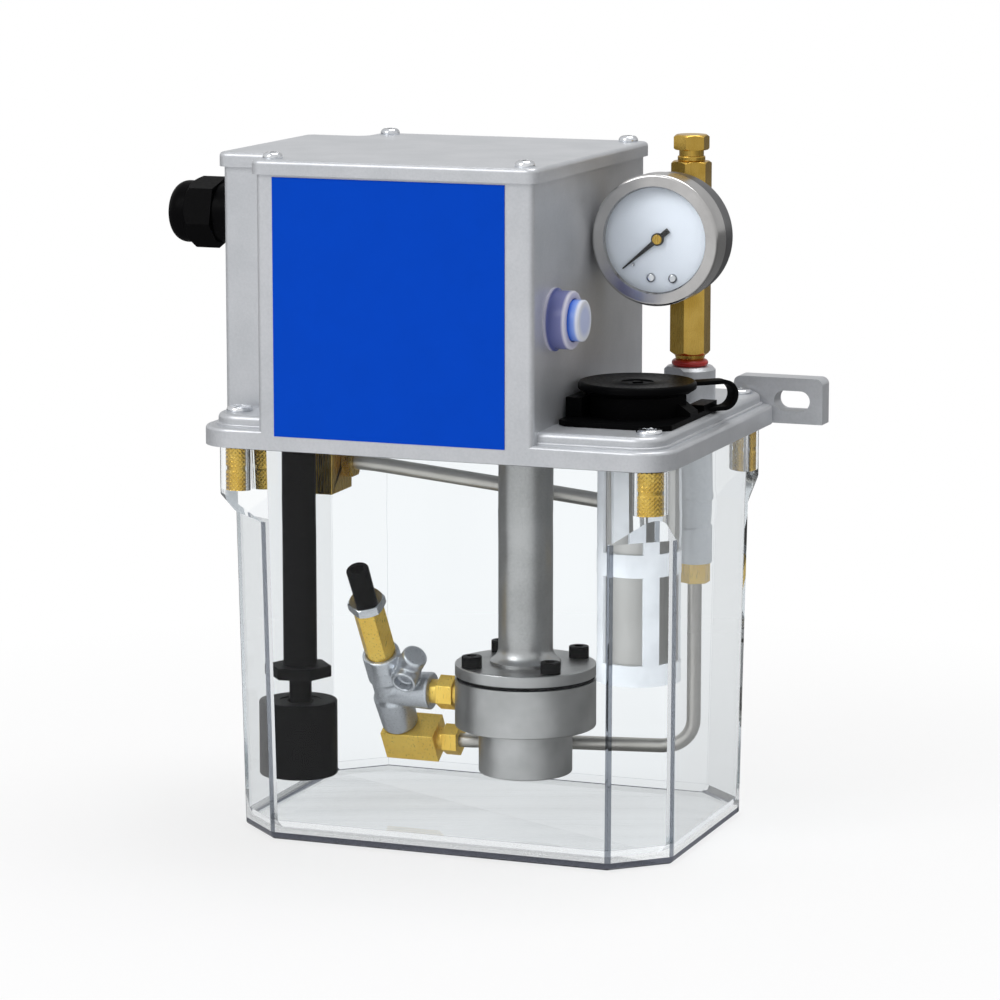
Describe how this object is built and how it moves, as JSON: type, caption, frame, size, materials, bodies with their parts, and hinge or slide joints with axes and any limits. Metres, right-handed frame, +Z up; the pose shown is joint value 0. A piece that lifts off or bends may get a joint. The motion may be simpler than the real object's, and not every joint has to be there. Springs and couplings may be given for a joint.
{
  "type": "automatic lubricator",
  "caption": "Automatic oil lubricator: clear tank with gear pump, relief valve, strainer and float under a cast box with gauge, push button, filler and wall ears.",
  "frame": {"origin": "middle of the tank's foot, on the surface it stands on", "axes": "+Z up, -Y towards the front with the blue panel, +X towards the gauge and filler"},
  "size_m": [0.2526, 0.156, 0.2904],
  "materials": {
    "cast_grey": "satin silver-grey paint on a casting",
    "panel_blue": "plain blue film",
    "clear_tank": "clear acrylic",
    "brass": "machined",
    "zinc": "bright zinc",
    "black_plastic": "moulded",
    "black_rubber": "matt",
    "grey_rubber": "matt",
    "red_rubber": "smooth",
    "stainless": "brushed",
    "machined_grey": "turned",
    "pipe_steel": "drawn tube",
    "cast_valve": "fine cast",
    "black_steel": "black oxide",
    "dial_white": "matt",
    "needle_black": "matt",
    "clear_glass": "clear",
    "clear_cap": "translucent",
    "button_blue": "smooth",
    "white_plastic": "moulded",
    "motor_grey": "satin",
    "board_green": "board"
  },
  "bodies": {
    "lubricator": {"body_casting": "cast_grey", "lid": "cast_grey", "front_panel": "panel_blue", "tank": "clear_tank", "tank_inserts": "brass", "outlet_column": "brass", "outlet_plug": "brass", "relief_barrel": "brass", "pump_fitting": "brass", "elbow_block": "brass", "pipe_nuts": "brass", "sensing_elbow": "brass", "flange_screws": "zinc", "lid_screws": "zinc", "dial_screws": "zinc", "relief_locknut": "zinc", "gland_body": "black_plastic", "gland_nut": "black_plastic", "gland_locknut": "black_plastic", "filler_neck": "black_plastic", "level_tube": "black_plastic", "level_stem": "black_plastic", "level_clip": "black_plastic", "button_switch": "black_plastic", "gland_insert": "black_rubber", "filler_tether": "black_rubber", "pump_gasket": "black_rubber", "tank_gasket": "grey_rubber", "column_oring": "red_rubber", "gauge_bezel": "stainless", "pump_column": "stainless", "pump_cover": "stainless", "strainer_mesh": "stainless", "pump_body": "machined_grey", "pressure_switch": "machined_grey", "relief_spring": "machined_grey", "delivery_pipe": "pipe_steel", "sensing_pipe": "pipe_steel", "valve_body": "cast_valve", "outlet_socket": "cast_valve", "pump_bolts": "black_steel", "gauge_case": "black_steel", "gauge_dial": "dial_white", "gauge_glass": "clear_glass", "button_sleeve": "clear_cap", "strainer_frame": "white_plastic", "motor_housing": "motor_grey", "circuit_board": "board_green"},
    "cap": {"filler_cap": "black_rubber"},
    "button": {"button_cap": "clear_cap", "button_plunger": "button_blue"},
    "needle": {"gauge_pointer": "needle_black"},
    "float": {"level_float": "black_rubber"},
    "rotor": {"motor_rotor": "machined_grey", "drive_shaft": "stainless", "shaft_coupling": "stainless", "drive_gear": "machined_grey"},
    "idler": {"driven_gear": "machined_grey"},
    "adjuster": {"relief_adjuster": "black_steel"},
    "poppet": {"relief_poppet": "machined_grey"}
  },
  "joints": [
    {"name": "cap_lift", "type": "slide", "parent": "lubricator", "child": "cap", "axis": [0, 0, 1], "range_m": [0, 0.02], "deforming": ["filler_tether"]},
    {"name": "button_press", "type": "slide", "parent": "lubricator", "child": "button", "axis": [-1, 0, 0], "range_m": [0, 0.003], "stiffness_N_per_m": 600, "springref_m": -0.001},
    {"name": "needle_turn", "type": "hinge", "parent": "lubricator", "child": "needle", "pos_m": [0.074, 0, 0.251], "axis": [0, 1, 0], "range_deg": [0, 270], "stiffness_Nm_per_rad": 0.0005, "springref_deg": -17.19},
    {"name": "float_rise", "type": "slide", "parent": "lubricator", "child": "float", "axis": [0, 0, 1], "range_m": [0, 0.0098]},
    {"name": "rotor_spin", "type": "hinge", "parent": "lubricator", "child": "rotor", "pos_m": [0.015, 0, 0.1], "axis": [0, 0, 1], "continuous": true},
    {"name": "idler_spin", "type": "hinge", "parent": "lubricator", "child": "idler", "pos_m": [0.015, 0.012, 0.058], "axis": [0, 0, 1], "continuous": true},
    {"name": "adjuster_turn", "type": "hinge", "parent": "lubricator", "child": "adjuster", "pos_m": [-0.0464, 0, 0.0541], "axis": [0, -0.5299, 0.848], "range_deg": [0, 720]},
    {"name": "poppet_lift", "type": "slide", "parent": "lubricator", "child": "poppet", "axis": [0, -0.5299, 0.848], "range_m": [0, 0.0015], "stiffness_N_per_m": 1500, "springref_m": -0.002, "deforming": ["relief_spring"]}
  ],
  "couplings": [
    {"joint": "idler_spin", "follows": "rotor_spin", "ratio": -1}
  ]
}
